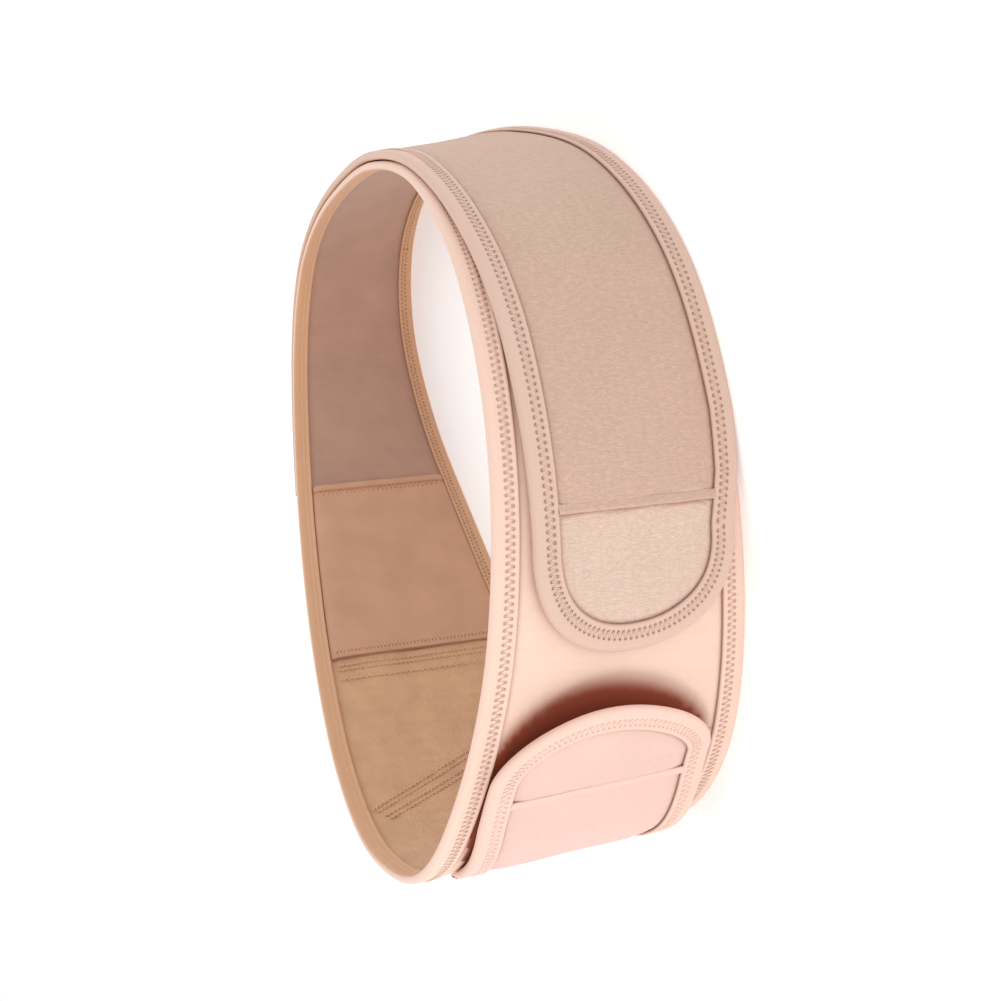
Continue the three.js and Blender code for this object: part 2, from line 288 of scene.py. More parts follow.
def binding(name, turn, share, side, rise, material, node, closed, seed):
    """A folded binding swept along a path, with a little sway in its height."""
    step = np.hypot(np.diff(turn) * per_degree(turn, share)[1:], np.diff(share) * width(turn)[1:])
    u = np.concatenate([[0], np.cumsum(step)])
    slack = 0.10 * sway(u, 0 * u, seed, 26)[:, None] * np.sign(FOLD_H) * np.clip(np.abs(FOLD_H) - 0.9, 0, 1)
    points, _, _ = inward_grid(turn, share, side, FOLD_D, FOLD_H + slack, rise, closed)
    points[..., 2] = np.maximum(points[..., 2], 0)
    v = np.where(np.arange(len(FOLD_D)) <= FOLD_SHOWN // 2, FOLD_D, -FOLD_D * HEM_OUT / HEM_IN)
    uv = np.stack(np.broadcast_arrays(u[:, None], v), axis=-1)
    faces = grid_faces(len(turn), len(FOLD_D), closed, True)
    if side > 0:
        faces = faces[:, ::-1]
    faces = faces.tolist()
    if not closed:
        n, m = len(FOLD_D), len(turn)
        first, last = list(range(n)), list(range((m - 1) * n, m * n))
        faces += [first[::-1] if side > 0 else first, last if side > 0 else last[::-1]]
    return make(name, points, faces, uv, material, node)


def stitches(name, turn, share, side, rise, rows, base, material, closed=False,
             pitch=PITCH, radius=0.16, arch=0.17):
    """A machine seam along a path: from each needle hole to the next in the other row, one thread
    that rises from its hole, arches over the cloth and dips into the next. Equal rows give a
    straight seam. base gives the cloth's height over a distance in from the path, negative
    inside."""
    step = np.hypot(np.diff(turn) * per_degree(turn, share)[1:], np.diff(share) * width(turn)[1:])
    u = np.concatenate([[0], np.cumsum(step)])
    count = int(u[-1] / (pitch / 2))
    at = (np.arange(count) + 0.5) * pitch / 2
    row = np.where(np.arange(count) % 2 == 0, rows[0], rows[1])
    a, b = path_frame(turn, share, closed)
    x = np.array([0.0, 0.12, 0.5, 0.88, 1.0])
    lift = arch * np.array([-1.0, 0.5, 1.0, 0.5, -1.0])
    ring = np.linspace(0, 2 * np.pi, 5, endpoint=False)
    uu = at[:-1, None] + (at[1:] - at[:-1])[:, None] * x
    dd = row[:-1, None] + (row[1:] - row[:-1])[:, None] * x
    t = np.interp(uu, u, turn) + side * np.interp(uu, u, a) * dd
    s = np.interp(uu, u, share) + side * np.interp(uu, u, b) * dd
    h = base(dd)
    leg = np.sign(h)
    centre = on_band(t, s, rise(t) + h + leg * lift)
    top = on_band(t, s, rise(t) + h + leg * (lift + 1)) - centre
    way = np.gradient(centre, axis=1)
    way /= np.linalg.norm(way, axis=-1)[..., None]
    cross = np.cross(way, top)
    cross /= np.linalg.norm(cross, axis=-1)[..., None]
    lifted = np.cross(cross, way)
    r = radius * np.array([0.6, 1, 1, 1, 0.6])
    tube = centre[:, :, None, :] + r[None, :, None, None] * (
        np.cos(ring)[:, None] * cross[:, :, None, :] + np.sin(ring)[:, None] * lifted[:, :, None, :])
    uv = np.stack(np.broadcast_arrays(uu[:, :, None], dd[:, :, None] + 0 * ring), axis=-1)
    one = grid_faces(5, 5, False, True)
    faces = (one[None] + 25 * np.arange(count - 1)[:, None, None]).reshape(-1, 4)
    caps = np.array([[0, 1, 2, 3, 4], [24, 23, 22, 21, 20]])
    caps = (caps[None] + 25 * np.arange(count - 1)[:, None, None]).reshape(-1, 5)
    obj = make(name, tube, faces.tolist() + caps.tolist(), uv, material, None)
    return obj


def over_binding(d):
    """The outer face of a binding, sunk along its two rows of holes."""
    return np.interp(d, [0, 4, 5.2, 6.4, 7.6, 8.4], [1.9, 1.9, 1.72, 1.84, 1.66, 1.9])


def under_binding(d):
    """The inner face of a binding, whose leg is a little shorter."""
    return -over_binding(d * HEM_OUT / HEM_IN)


def edge_height(d, tucked, full):
    """Half thickness of the laminate a distance in from its edge: pressed flat under the
    binding, full from 5 mm beyond it."""
    return tucked + (full - tucked) * ease((d - 9.4) / 4.5)


def panel(name, start, end, material, inside, node, seed, puff=0.25, step=0.5, gathers=0.0):
    """A length of the base band between two cross seams: its thickness falls off under the
    bindings and at both seams, and it sways a little."""
    turn = np.linspace(start, end, int(abs(end - start) / step) + 1)
    edge = np.array([1.5, 6, 9.0, 9.8, 10.4, 11.0, 11.8, 13, 15, 18, 22, 27])
    w = width(turn)
    inner = np.linspace(0, 1, 34)[1:-1]
    d = np.concatenate([
        np.broadcast_to(edge, (len(turn), len(edge))),
        edge[-1] + (w[:, None] - 2 * edge[-1]) * inner,
        w[:, None] - edge[::-1]], axis=1)
    near = np.minimum(d, w[:, None] - d)
    u = along(turn)[:, None]
    full = PANEL_HALF + puff * ease((near - 12) / 14)
    seam = np.minimum(np.abs(u - u[0]), np.abs(u - u[-1]))
    full = full - 0.5 * (1 - ease(seam / 2.6))
    half = edge_height(near, TUCKED_HALF, full)
    calm = ease((near - 10) / 12) * ease(seam / 12)
    wave = 0.22 * calm * sway(u, d, seed, 34)
    wave = wave + gathers * calm * sway(u * 1.6, d * 0.35, seed + 40, 7)
    wave = wave + seam_bulge(turn[:, None]) * ease((d / w[:, None] - 0.80) / 0.08)
    out = on_band(turn[:, None], d / w[:, None], half + wave)
    back = on_band(turn[:, None], d / w[:, None], -half + wave)
    # Painted shade: warm brown along the bindings and across both seams, and on the front and lower side
    # panels the tab's painted shadow under and beside it
    shade = 0.4 * (1 - ease((near - 10.0) / 1.6))
    shade = np.maximum(shade, 0.45 * (1 - ease((seam - 0.1) / 0.9)))
    if node in ("front_panel", "lower_side_panel"):
        shade = np.maximum(shade, tab_shade(out, turn[:, None] + 0 * d, d / w[:, None]))
    return slab(name, out, back, u + 0 * d, d, material, node, shade, inside)


def shaded(obj, shade):
    """Stores the painted shade of each point, how deep it lies in a crease, for the cloth's colour."""
    layer = obj.data.attributes.new("shade", "FLOAT", "POINT")
    layer.data.foreach_set("value", np.asarray(shade, dtype=np.float32).ravel())
    return obj


def slab(name, out, back, u, v, material, node, shade=None, inside=None):
    """A closed slab between two grids of points, with a rim of faces all round. shade is the painted
    shade of each outer point, in a crease or under an edge, from 0 to 1."""
    rows, columns = out.shape[:2]
    points = np.concatenate([out.reshape(-1, 3), back.reshape(-1, 3)])
    faces = grid_faces(rows, columns)
    n = rows * columns
    edge = np.concatenate([
        np.arange(columns), np.arange(1, rows) * columns + columns - 1,
        (rows - 1) * columns + np.arange(columns - 2, -1, -1), np.arange(rows - 2, 0, -1) * columns])
    after = np.roll(edge, -1)
    rim = np.stack([edge, after, after + n, edge + n], axis=1)
    faces = np.concatenate([faces, faces[:, ::-1] + n, rim])
    uv = np.stack([u, v], axis=-1).reshape(-1, 2)
    uv = np.concatenate([uv, uv + [0, 500]])
    obj = make(name, points, faces, uv, material, node)
    if shade is not None:
        shaded(obj, np.concatenate([shade.ravel(), 0 * shade.ravel()]))
    if inside:
        obj.data.materials.append(inside)
        index = np.zeros(len(faces), dtype=np.int32)
        index[len(faces) - len(rim) >> 1:len(faces) - len(rim)] = 1
        obj.data.polygons.foreach_set("material_index", index)
    return obj


def strap_outline(rows, tip, power, slant, side_step, tip_steps):
    """A strap's outline from its root along its upper edge, round the tip and back: the tip is
    a superellipse between the ends of the two edges, slanted across."""
    root, shoulder = rows[0, 0], rows[-1, 0]
    n = int(abs(shoulder - root) / side_step) + 1
    side = np.linspace(root, shoulder, n)
    low, high = table(rows, side, 1), table(rows, side, 2)
    centre, half = (low[-1] + high[-1]) / 2, (high[-1] - low[-1]) / 2
    a = np.pi / 2 * (1 - 2 * np.arange(1, tip_steps) / tip_steps)
    s, c = np.sin(a), np.cos(a)
    v = centre + half * np.sign(s) * np.abs(s) ** (2 / power)
    reach = c ** (2 / power)
    t = shoulder + (tip - shoulder) * reach + slant * (v - centre) * reach
    return np.concatenate([side, t, side[::-1]]), np.concatenate([high, v, low[::-1]]), n


def resample(turn, share, spacing):
    """The same path with points a set distance apart."""
    step = np.hypot(np.diff(turn) * per_degree(turn, share)[1:], np.diff(share) * width(turn)[1:])
    u = np.concatenate([[0], np.cumsum(step)])
    at = np.linspace(0, u[-1], int(u[-1] / spacing) + 1)
    return np.interp(at, u, turn), np.interp(at, u, share)


def strap_panel(name, turn, share, side, rise, start, end, tip, material, node, seed, seam_lift, crease,
                puff=0.18):
    """A length of a strap's panel. Its outline points pair off across the strap; each pair is
    joined by a row that is pressed flat near the binding and full between. At the seam the upper
    cloth lifts and the end cloth dips by the seam's lift."""
    m = (len(turn) + 1) // 2
    pair = len(turn) - 1 - np.arange(m)
    way = np.sign(turn[m - 1] - turn[0])
    keep = np.arange(m)[(turn[:m] - start) * way >= -1e-6]
    if tip:
        keep = keep[:-1] if pair[keep[-1]] == keep[-1] else keep
    else:
        keep = keep[(turn[keep] - end) * way <= 1e-6]
        keep = keep[: np.argmax(turn[keep] * way) + 1]
    edge = np.array([1.5, 6, 9.0, 9.8, 10.6, 11.6, 13, 15, 18])
    a, b = path_frame(turn, share, False)

    def side_points(k):
        t = turn[k][:, None] + side * a[k][:, None] * edge
        s = share[k][:, None] + side * b[k][:, None] * edge
        return t, s

    tl, sl = side_points(keep)
    tr, sr = side_points(pair[keep])
    f = np.linspace(0, 1, 20)[1:-1]
    tm = tl[:, -1:] + (tr[:, -1:] - tl[:, -1:]) * f
    sm = sl[:, -1:] + (sr[:, -1:] - sl[:, -1:]) * f
    t = np.concatenate([tl, tm, tr[:, ::-1]], axis=1)
    s = np.concatenate([sl, sm, sr[:, ::-1]], axis=1)
    near = np.concatenate([
        np.broadcast_to(edge, tl.shape),
        np.full(tm.shape, edge[-1]),
        np.broadcast_to(edge[::-1], tr.shape)], axis=1)
    w = width(t)
    across = s * w
    u = along(t)
    seam = np.abs(u - along(np.array(STRAP_SEAM - 360 if way < 0 else TAB_SEAM)))
    full = PANEL_HALF + puff * ease((near - 12) / 6)
    half = edge_height(near, TUCKED_HALF, full)
    inside = ease((near - 9.6) / 2.5)
    shape = (-seam_lift if tip else seam_lift) * (1 - ease(seam / 5.0)) * inside
    calm = ease((near - 10) / 8)
    wave = 0.25 * calm * sway(u, across, seed, 30)
    out = on_band(t, s, rise(t) + half + wave + shape)
    back = on_band(t, s, rise(t) - half + wave)
    rows, columns = t.shape
    grid = slab_open(out, back, u, across, side, tip)
    # Painted shade along the binding's edge, and by crease across the seam below the lap
    at_binding = 0.4 * (1 - ease((near - 10.0) / 1.4))
    shade = np.maximum(at_binding, crease * (1 - ease((seam - 0.7) / 1.3)) * inside).ravel()
    return shaded(make(name, *grid, material, node), np.concatenate([shade, 0 * shade]))


def lap(name, rows, seam, way, rise, material, height, seed, puff=0.18):
    """The folded edge of a strap's upper cloth over its end cloth: a low ridge along the seam,
    gently rising on the root side and rounded down on the other. puff is as for the panel."""
    at = np.array([seam])
    wide = width(at)
    low, high = table(rows, at, 1) + HEM_SEEN / wide, table(rows, at, 2) - HEM_SEEN / wide
    share = low + (high - low) * np.linspace(0, 1, 90)
    x = np.array([-2.6, -2.0, -1.3, -0.6, -0.1, 0.3, 0.6, 0.75, 0.8])
    top = np.array([0.02, 0.22, 0.55, 0.85, 0.98, 0.92, 0.62, 0.3, -0.2]) * height
    drift = 0.18 * sway(share * wide, 0 * share, seed, 14)[:, None]
    turn = seam + way * (x + drift) / per_degree(np.full_like(share, seam), share)[:, None]
    share = share[:, None] + 0 * turn
    face = PANEL_HALF + puff - 0.02
    out = on_band(turn, share, rise(turn) + face + top)
    back = on_band(turn, share, rise(turn) + face + np.minimum(top, 0) - 0.3)
    u, v = along(turn), share * width(turn)
    if way > 0:
        out, back, u, v = (g[::-1] for g in (out, back, u, v))
    obj = slab(name, out, back, u, v, material, None)
    return obj


def root_fold(name, rows, way, rise, material):
    """A strap's turned edge where it is sewn to the band: from on top of the strap down over its
    end and onto the band, pressed along two rows of stitches."""
    root = rows[0, 0]
    wide = width(np.array([root]))
    low, high = rows[0, 1] * wide + 0.3, rows[0, 2] * wide - 0.3
    d = np.linspace(0, 1, 90) * (high - low) + low
    x = np.array([
        -6.2, -5.9, -5.4, -4.7, -3.9, -3.0, -1.8, -0.9, -0.2, 0.35, 0.75, 1.1, 1.6, 2.1, 2.3])[:, None]
    near = np.minimum(d - low, high - d) + 0.3
    rim = np.minimum(d, wide - d)
    thick = 1.62 + 0.38 * (1 - ease((near - 9.8) / 1.2))
    under = 1.6 + 0.45 * (1 - ease((rim - 9.8) / 1.2))
    turn = root + way * -x / per_degree(np.full_like(d, root), d / wide)
    over = rise(turn) + thick + 0.25 - 0.15 * bump(x, -4.4, 1.0) - 0.15 * bump(x, -2.4, 1.2)
    over = over - 0.5 * (1 - ease((x + 6.2) / 0.7))
    down = ease((x + 0.5) / 1.7)
    height = over * (1 - down) + (under + 0.3 * (1 - ease((x - 1.3) / 1.0))) * down
    share = d / wide + 0 * x
    out, back = on_band(turn, share, height), on_band(turn, share, height - 0.35)
    u, v = along(turn), share * wide
    if way > 0:
        out, back, u, v = (g[::-1] for g in (out, back, u, v))
    obj = slab(name, out, back, u, v, material, None)
    return shaded(obj, np.zeros(len(obj.data.vertices)))


def slab_open(out, back, u, v, side, tip):
    """Faces of a strap's slab; at the tip the last row is zipped to itself."""
    rows, columns = out.shape[:2]
    n = rows * columns
    points = np.concatenate([out.reshape(-1, 3), back.reshape(-1, 3)])
    top = grid_faces(rows, columns)
    left = np.arange(rows) * columns
    right = left + columns - 1
    faces = [top, top[:, ::-1] + n]
    faces.append(np.stack([left[:-1], left[:-1] + n, left[1:] + n, left[1:]], axis=1))
    faces.append(np.stack([right[:-1], right[1:], right[1:] + n, right[:-1] + n], axis=1))
    first = np.arange(columns)
    faces.append(np.stack([first[:-1], first[1:], first[1:] + n, first[:-1] + n], axis=1))
    last = (rows - 1) * columns + np.arange(columns)
    if tip:
        j = np.arange(columns // 2 - 1)
        zipped = np.stack([last[j], last[columns - 1 - j], last[columns - 2 - j], last[j + 1]], axis=1)
        faces += [zipped, zipped[:, ::-1] + n]
        faces.append(np.array([[last[0], last[0] + n, last[-1] + n, last[-1]]]))
    else:
        faces.append(np.stack([last[:-1], last[:-1] + n, last[1:] + n, last[1:]], axis=1))
    faces = np.concatenate(faces)
    if side < 0:
        faces = faces[:, ::-1]
    uv = np.stack([u, v], axis=-1).reshape(-1, 2)
    uv = np.concatenate([uv, uv + [0, 500]])
    return points, faces.tolist(), uv


LINING_MIDDLE, LINING_HALF = -2.55, 0.6
LINING_FACE = LINING_MIDDLE - LINING_HALF - 0.1


def lining(name, start, end, material, node):
    """The lining inside the back: a thin sheet between the rims' bindings, with a folded strip
    raised along its first end and a rounded fold along its last."""
    turn = np.linspace(start, end, 161)
    w = width(turn)[:, None]
    edge = np.array([8.9, 9.4, 10.4, 12, 15])
    inner = np.linspace(0, 1, 26)[1:-1]
    d = np.concatenate([
        np.broadcast_to(edge, (len(turn), len(edge))),
        edge[-1] + (w - 2 * edge[-1]) * inner,
        w - edge[::-1]], axis=1)
    u = along(turn)[:, None]
    from_start, from_end = u - u[0], u[-1] - u
    near = np.minimum(d, w - d) - edge[0]
    half = LINING_HALF - 0.35 * (1 - ease(near / 1.5))
    strip = 0.6 * ease(from_start / 0.4) * (1 - ease((from_start - 4.0) / 0.5))
    strip = strip - 0.22 * bump(from_start, 6.1, 1.6) - 0.4 * (1 - ease(from_end / 0.8))
    strip = strip - 0.2 * bump(from_end, 4.0, 2.2)
    wave = 0.16 * ease(near / 8) * sway(u, d, 31, 30)
    sunk = LINING_MIDDLE + 0.85 * (1 - ease(near / 4.5))
    out = on_band(turn[:, None], d / w, sunk + half + 0 * u)
    back = on_band(turn[:, None], d / w, sunk - half - np.maximum(strip, -half) - 0.16 + wave)
    # Painted shade on the inner face: in the fold beside the raised strip, along the end's fold and beside
    # the bindings
    shade = 0.5 * bump(from_start, 4.5, 0.9) + 0.6 * (1 - ease(from_end / 0.7))
    shade = shade + 0.3 * (1 - ease(near / 0.8))
    obj = slab(name, out, back, u + 0 * d, d, material, node)
    return shaded(obj, np.concatenate([0 * shade.ravel(), shade.ravel()]))


def hook_patch(name, start, end, low, high):
    """A strip of hook tape under a strap or tab: a thin slab whose face is set with small hooks."""
    turn, share = np.linspace(start, end, 41), np.linspace(low, high, 61)
    t, s = np.meshgrid(turn, share, indexing="ij")
    u, v = along(t), s * width(t)
    near = np.minimum(np.minimum(u - u[0], u[-1] - u), np.minimum(v - v[:, :1], v[:, -1:] - v))
    face = 0.35 + 0.3 * ease(near / 0.8) + 0.12 * ease(near / 2) * np.sin(u * 2.4) * np.sin(v * 2.4)
    base = PANEL_HALF + 0.4
    return slab(name, on_band(t, s, base + 0.2 + face), on_band(t, s, base + 0 * t), u, v, HOOK, name)


# Materials
class Value:
    """A socket of a cloth's node tree, so that a pattern reads as a formula."""

    def __init__(self, cloth, socket):
        self.cloth, self.socket = cloth, socket

    def math(self, operation, *others):
        return self.cloth.node("ShaderNodeMath", [self, *others], operation=operation)

    def __add__(self, other):
        return self.math("ADD", other)

    def __sub__(self, other):
        return self.math("SUBTRACT", other)

    def __mul__(self, other):
        return self.math("MULTIPLY", other)

    def __truediv__(self, other):
        return self.math("DIVIDE", other)

    __radd__, __rmul__ = __add__, __mul__

    def __rsub__(self, other):
        return self.cloth.node("ShaderNodeMath", [other, self], operation="SUBTRACT")

    def __abs__(self):
        return self.math("ABSOLUTE")

    def fraction(self):
        return self.math("FRACT")

    def smaller(self, other):
        return self.math("MINIMUM", other)

    def sine(self):
        return self.math("SINE")

    def length(self, other):
        """Square root of the sum of two squares."""
        return (self * self + other * other).math("SQRT")

    def between(self, low, high):
        """0 at low and 1 at high, smooth between."""
        return self.cloth.node(
            "ShaderNodeMapRange", [self, low, high, 0.0, 1.0], interpolation_type="SMOOTHSTEP")


class Cloth:
    """A cloth's material: a node tree that ends in one Principled shader."""

    def __init__(self, name):
        self.material = bpy.data.materials.new(name)
        self.material.use_nodes = True
        self.tree = self.material.node_tree
        self.shader = self.tree.nodes["Principled BSDF"]
        uv = self.node("ShaderNodeSeparateXYZ", [self.node("ShaderNodeUVMap", [], uv_map="UVMap")])
        self.u = uv
        self.v = Value(self, uv.socket.node.outputs["Y"])

    def node(self, kind, inputs, output=0, **settings):
        """Adds one node, sets its settings, and links or sets its inputs in order."""
        made = self.tree.nodes.new(kind)
        for key, value in settings.items():
            setattr(made, key, value)
        for socket, value in zip(made.inputs, inputs):
            if isinstance(value, Value):
                self.tree.links.new(value.socket, socket)
            elif value is not None:
                socket.default_value = value
        return Value(self, made.outputs[output])

    def noise(self, u_scale, v_scale, detail=3.0, rough=0.55):
        """Noise of about -0.5 to 0.5 with its own number of cells per millimetre each way."""
        place = self.node("ShaderNodeCombineXYZ", [self.u * u_scale, self.v * v_scale, 0.0])
        return self.node("ShaderNodeTexNoise", [place, None, 1.0, detail, rough]) - 0.5

    def colours(self, factor, a, b):
        """The colour a where the factor is 0 and b where it is 1; each is fixed or worked out."""
        mix = self.tree.nodes.new("ShaderNodeMix")
        mix.data_type = "RGBA"
        self.tree.links.new(factor.socket, mix.inputs[0])
        for socket, colour in ((mix.inputs[6], a), (mix.inputs[7], b)):
            if isinstance(colour, Value):
                self.tree.links.new(colour.socket, socket)
            else:
                socket.default_value = (*colour, 1)
        return Value(self, mix.outputs[2])

    def finish(self, dark, light, pattern, height, roughness, sheen=0.0, crease=0.0, inner=None):
        """Colour runs between a darker and a lighter tone by the pattern, and to a warm brown painted shade
        where the shade attribute plus crease is high; inner is a mask and the two tones that it uses
        instead.
        height is the relief in millimetres."""
        colour = self.colours(pattern, dark, light)
        if inner:
            colour = self.colours(inner[0], colour, self.colours(pattern, *inner[1:]))
        # Painted shade: the shade attribute plus crease turns the colour to a warm brown
        shade = self.node("ShaderNodeAttribute", [], output=2, attribute_name="shade") + crease
        colour = self.colours(shade, colour, linear(140, 48, 4))
        self.tree.links.new(colour.socket, self.shader.inputs["Base Color"])
        relief = self.tree.nodes.new("ShaderNodeBump")
        relief.inputs["Strength"].default_value = 1.0
        relief.inputs["Distance"].default_value = 0.001
        self.tree.links.new(height.socket, relief.inputs["Height"])
        self.tree.links.new(relief.outputs["Normal"], self.shader.inputs["Normal"])
        if isinstance(roughness, Value):
            self.tree.links.new(roughness.socket, self.shader.inputs["Roughness"])
        else:
            self.shader.inputs["Roughness"].default_value = roughness
        self.shader.inputs["Specular IOR Level"].default_value = 0.25
        self.shader.inputs["Sheen Weight"].default_value = sheen
        self.shader.inputs["Sheen Roughness"].default_value = 0.6
        return self.material


def linear(r, g, b):
    """Display colour, 0 to 255, as linear light."""
    c = np.array([r, g, b]) / 255
    return tuple(np.where(c <= 0.04045, c / 12.92, ((c + 0.055) / 1.055) ** 2.4))


def brushed(name, tone, depth=0.16, contrast=0.05):
    """Brushed loop cloth: short nap with faint streaks across the band."""
    c = Cloth(name)
    nap = c.noise(2.2, 1.1, 4.0, 0.7)
    streak = c.noise(0.55, 0.12, 3.0)
    patch = c.noise(0.04, 0.03, 2.0)
    pattern = nap * 1.0 + streak * 0.7 + patch * 0.8 + 0.5
    height = nap * depth + streak * (depth * 0.5)
    low, high = (np.array(linear(*tone)) * k for k in (1 - 4 * contrast, 1 + 3 * contrast))
    return c.finish(low, high, pattern, height, 0.92, 0.06)


def fleece(name, tone):
    """Brushed fleece: a crackled nap of short fibres that lie across the band, matted into
    clumps, over slow patches where a hand has turned them."""
    c = Cloth(name)
    warp = c.noise(0.4, 0.4, 2.0)
    clump = c.noise(0.85, 0.30, 4.0, 0.68)
    fibre = c.noise(4.2, 1.3, 3.0, 0.7)
    crack = abs(c.noise(0.8, 0.26, 2.0) + warp * 0.15).between(0.0, 0.08)
    patch = c.noise(0.035, 0.03, 2.0)
    pattern = clump * 0.95 + fibre * 0.75 + crack * 0.18 + patch * 0.3 + 0.38
    height = clump * 0.30 + fibre * 0.14 + crack * 0.10
    low, high = (np.array(linear(*tone)) * k for k in (0.81, 1.13))
    return c.finish(low, high, pattern, height, 0.95, 0.14)


def terry(name, tone):
    """Flattened loop pile in close rows, with small puckers left by the sewing."""
    c = Cloth(name)
    bend = c.noise(0.15, 0.15, 2.0) * 3.0
    rows = (c.v * (2 * np.pi / 1.25) + bend).sine()
    loops = (c.u * (2 * np.pi / 0.9) + bend).sine()
    fuzz = c.noise(2.6, 2.6, 4.0, 0.7)
    patch = c.noise(0.06, 0.08, 3.0)
    pattern = rows * 0.07 + loops * 0.04 + fuzz * 0.9 + patch * 0.9 + 0.5
    height = rows * 0.05 + loops * 0.04 + fuzz * 0.22 + patch * 0.3
    low, high = (np.array(linear(*tone)) * k for k in (0.78, 1.18))
    return c.finish(low, high, pattern, height, 0.92, 0.15)


def knit(name, tone, rib=1.1, depth=0.07, across=True, contrast=0.035):
    """Fine knit: even ribs, with faint broader bars where they beat against the light."""
    c = Cloth(name)
    line = (c.u if across else c.v) * (2 * np.pi / rib) + c.noise(0.1, 0.1) * 2.0
    rows = line.sine() * 0.5
    loops = ((c.v if across else c.u) * (2 * np.pi / (rib * 0.7))).sine() * 0.5
    patch = c.noise(0.05, 0.05, 3.0)
    fuzz = c.noise(3.0, 3.0, 2.0)
    pattern = rows * 0.25 + patch * 1.1 + fuzz * 0.5 + 0.5
    height = rows * depth + loops * (depth * 0.5) + fuzz * (depth * 0.8)
    low, high = (np.array(linear(*tone)) * k for k in (1 - 4 * contrast, 1 + 4 * contrast))
    return c.finish(low, high, pattern, height, 0.8, 0.15)


def elastic(name, tone, hole_tone, depth=1.0, inner_holes=1.0):
    """Binding elastic: fine lengthwise ribs, a raised strip at its end and two rows of
    needle holes, sunk and darkened with painted shade. Its inner leg, where v is below 0, is tan: partly
    the elastic's own tint, partly painted shade inside the loop."""
    c = Cloth(name)
    d = abs(c.v)
    holes = None
    for k, row in enumerate(HOLE_ROWS):
        du = ((c.u / PITCH + 0.25 + 0.5 * k).fraction() - 0.5) * PITCH
        r = (du * 1.1).length(d - row)
        holes = r if holes is None else holes.smaller(r)
    inner = (0.0 - c.v).between(0.1, 0.9)
    shown = 1.0 - inner * (1.0 - inner_holes)
    # Painted shade: each hole darkened, with a soft darker ring round it
    pit = (1.0 - holes.between(0.28, 0.72)) * shown
    soft = (1.0 - holes.between(0.4, 1.25)) * shown
    ribs = (d * (2 * np.pi / 0.62)).sine()
    fuzz = c.noise(2.4, 2.4, 3.0)
    weave = (c.u * (2 * np.pi / 0.8)).sine()
    pattern = 0.80 + ribs * 0.03 + fuzz * 0.45 - pit * 0.70 - soft * 0.10
    height = ribs * 0.02 + fuzz * 0.05 + weave * 0.012 - pit * (0.60 * depth) - soft * (0.28 * depth)
    low, high = np.array(linear(*hole_tone)), np.array(linear(*tone)) * 1.12
    # Painted shade in the crease where each leg's end meets the cloth
    crease = d.between(9.75, 10.15) * 0.5
    # The inner leg's tan: partly the elastic's own tint, partly painted shade inside the loop
    tan = np.array(linear(214, 168, 132))
    return c.finish(low, high, pattern, height, 0.78, 0.1, crease, (inner, tan * 0.45, tan * 1.12))


def thread(name, tone):
    """Sewing thread with a slight twist."""
    c = Cloth(name)
    twist = (c.u * 9.0 + c.v * 7.0).sine()
    low, high = (np.array(linear(*tone)) * k for k in (0.93, 1.05))
    return c.finish(low, high, twist * 0.5 + 0.5, twist * 0.03, 0.7, 0.1)


BASE = brushed("base_cloth", (233, 202, 184), 0.10, 0.02)
# Lit and shaded copies of one fleece: the strap's cloth is darker as painted shade where it turns from the
# lamp, its end cloth lighter as painted light where the tip faces it
STRAP = fleece("strap_cloth", (205, 172, 153))
STRAP_END = fleece("strap_end_cloth", (219, 190, 173))
TAB = knit("tab_cloth", (222, 186, 174), 1.2, 0.05, False, 0.015)
# A slightly lighter copy of the tab's knit: a painted highlight along the seam's ridge
TAB_RIDGE = knit("tab_ridge_cloth", (225, 190, 178), 1.2, 0.04, False, 0.01)
# The cloths inside the loop are darker browns: partly their own colour, partly painted shade inside the
# loop
SIDE_LINING = knit("side_lining_cloth", (180, 142, 123), 0.9, 0.05)
BACK_CLOTH = terry("back_cloth", (212, 168, 131))
LINING = knit("lining_cloth", (197, 152, 122), 0.8, 0.03)
# The hole tones are painted shade in the needle holes; they are lighter on the rims and lightest on the tab
# as painted light, where more light falls
ELASTIC = elastic("binding_elastic", (214, 184, 168), (160, 121, 104), 0.75)
UPPER_ELASTIC = elastic("upper_rim_elastic", (231, 199, 182), (196, 158, 141), 0.65, 0.0)
LOWER_ELASTIC = elastic("lower_rim_elastic", (231, 199, 182), (196, 158, 141), 0.65)
TAB_ELASTIC = elastic("tab_binding_elastic", (224, 189, 175), (217, 180, 165), 0.45)
HOOK = knit("hook_tape", (214, 178, 156), 1.6, 0.3)
THREAD = thread("thread", (224, 192, 174))
TAB_THREAD = thread("tab_thread", (243, 214, 200))
BACK_THREAD = thread("back_thread", (222, 180, 146))

# The cloths' flat sizes: the width and length that each was cut to
TAPE = HEM_OUT + HEM_IN + 2 * BIND_HALF
WHOLE = np.array([[-360, 0, 1], [400, 0, 1]])


def cut(wide, long):
    """Turns a cloth's flat width and length from millimetres into metres; nothing more is done
    with them."""
    wide, long = float(wide) / 1000, float(long) / 1000


def cut_along(start, end, rows=WHOLE, tucked=1.5):
    turn = np.linspace(start, end, 60)
    wide = (width(turn) * (table(rows, turn, 2) - table(rows, turn, 1))).mean() - 2 * tucked
    cut(wide, abs(along(end) - along(start)))


